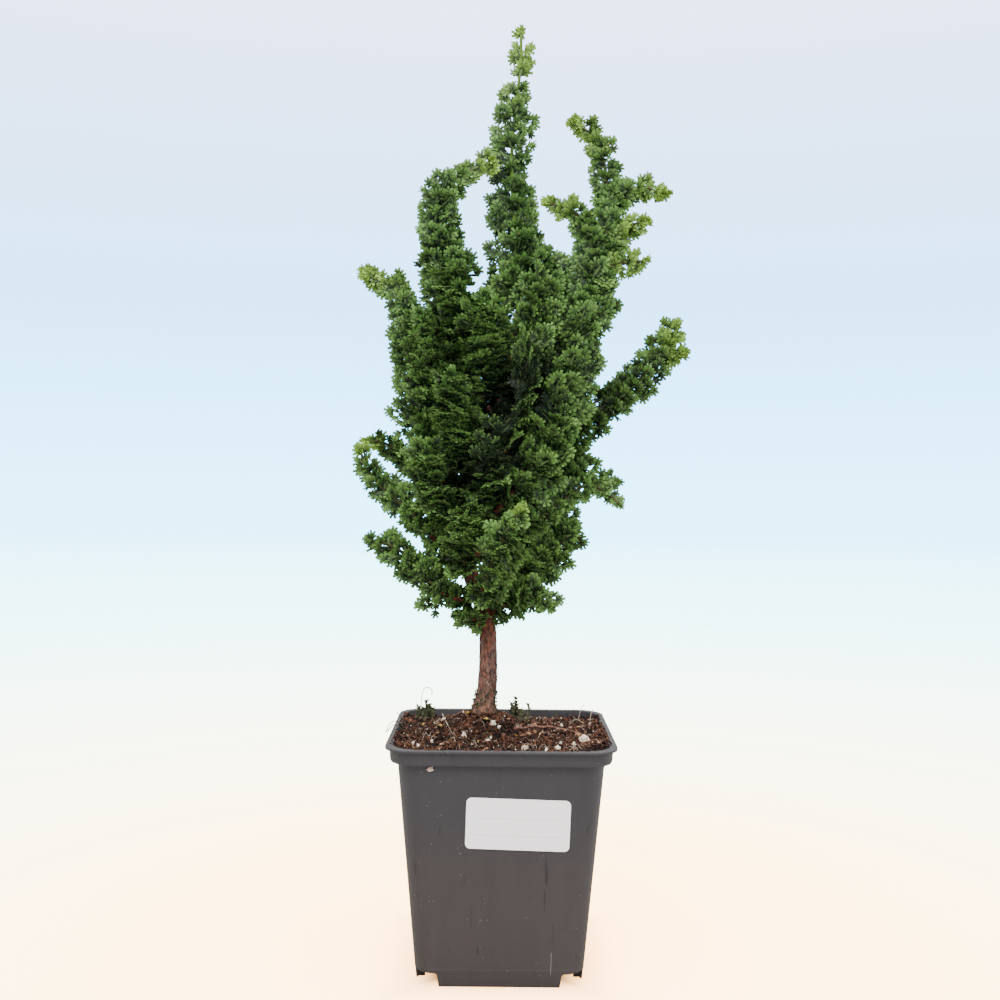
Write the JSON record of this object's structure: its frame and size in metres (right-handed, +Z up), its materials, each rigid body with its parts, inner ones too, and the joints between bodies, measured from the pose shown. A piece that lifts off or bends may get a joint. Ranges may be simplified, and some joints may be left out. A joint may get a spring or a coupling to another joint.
{
  "type": "potted hinoki cypress bonsai",
  "caption": "Young hinoki cypress with a curved trunk and fanned evergreen sprays, growing in compost in a square tapered nursery pot.",
  "frame": {"origin": "middle of the whole plant's footprint, at the height of the surface that the pot stands on", "axes": "+Z up, from the pot's foot to the tip of the leader; +Y away from the labelled wall; +X to the right as seen facing the label"},
  "size_m": [0.1456, 0.0964, 0.389],
  "materials": {
    "pot": "satin moulded plastic",
    "compost": "moist fibrous peat",
    "bark": "rough peeling bark",
    "foliage": "fine overlapping scale leaves",
    "young_foliage": "fine overlapping scale leaves, fresh growth",
    "label": "smooth coated paper",
    "perlite": "chalky",
    "dry_moss": "dry and fibrous"
  },
  "bodies": {
    "root": {"crown_limb_01": "foliage", "crown_limb_02": "foliage", "crown_limb_03": "foliage", "crown_limb_04": "foliage", "crown_limb_05": "foliage", "crown_limb_06": "foliage", "crown_limb_07": "foliage", "crown_limb_08": "foliage", "crown_limb_09": "foliage", "crown_limb_10": "foliage", "crown_limb_11": "foliage", "crown_limb_12": "foliage", "crown_limb_13": "foliage", "crown_limb_14": "foliage", "crown_limb_15": "foliage", "crown_limb_16": "foliage", "crown_limb_17": "foliage", "crown_limb_18": "foliage", "crown_limb_19": "foliage", "crown_limb_20": "foliage", "crown_limb_21": "foliage", "crown_limb_22": "foliage", "crown_limb_23": "foliage", "crown_limb_24": "foliage", "crown_limb_25": "foliage", "front_fan": "foliage", "label": "label", "leader": "young_foliage", "left_arm_high": "foliage", "left_arm_low": "foliage", "left_low": "foliage", "loop_high": "foliage", "loop_low": "foliage", "low_left": "foliage", "low_right": "foliage", "low_right_wide": "foliage", "moss_stalk_1": "dry_moss", "moss_stalk_2": "dry_moss", "perlite_grain_1": "perlite", "perlite_grain_2": "perlite", "perlite_grain_3": "perlite", "perlite_grain_4": "perlite", "perlite_grain_5": "perlite", "perlite_grain_6": "perlite", "pot": "pot", "right_arm": "foliage", "right_reach": "foliage", "right_twig": "foliage", "soil": "compost", "surface_root_1": "bark", "surface_root_2": "bark", "trunk_and_limbs": "bark"}
  },
  "joints": []
}
